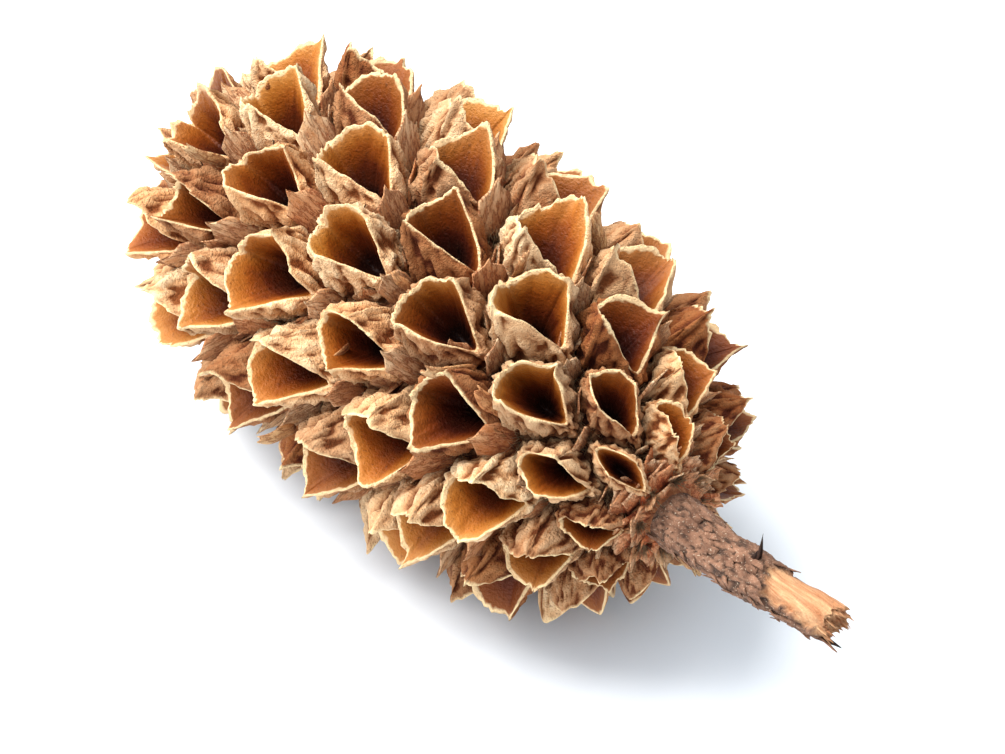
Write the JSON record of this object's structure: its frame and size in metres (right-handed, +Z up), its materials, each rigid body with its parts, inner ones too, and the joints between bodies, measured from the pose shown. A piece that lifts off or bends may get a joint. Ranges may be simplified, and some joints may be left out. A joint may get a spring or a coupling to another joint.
{
  "type": "casuarina cone",
  "caption": "Open, dry casuarina (she-oak) cone lying on its side: a barrel of paired woody valves that gape round empty seed pockets, on a short torn stalk.",
  "frame": {"origin": "on the surface that the cone lies on, under the middle of the whole part's box", "axes": "+X along the cone's axis from the apex towards the stalk, +Z up from the surface that it lies on"},
  "size_m": [0.0332, 0.015, 0.0143],
  "materials": {
    "cone_wood": "dry woody scale: amber and slightly glossy inside the pockets, pinkish tan and ribbed on the backs, with thin pale cream rims",
    "stalk_bark": "rough grey-brown flaking bark, with bare pale wood near the torn end"
  },
  "bodies": {
    "root": {"cone": "cone_wood", "stalk": "stalk_bark"}
  },
  "joints": []
}
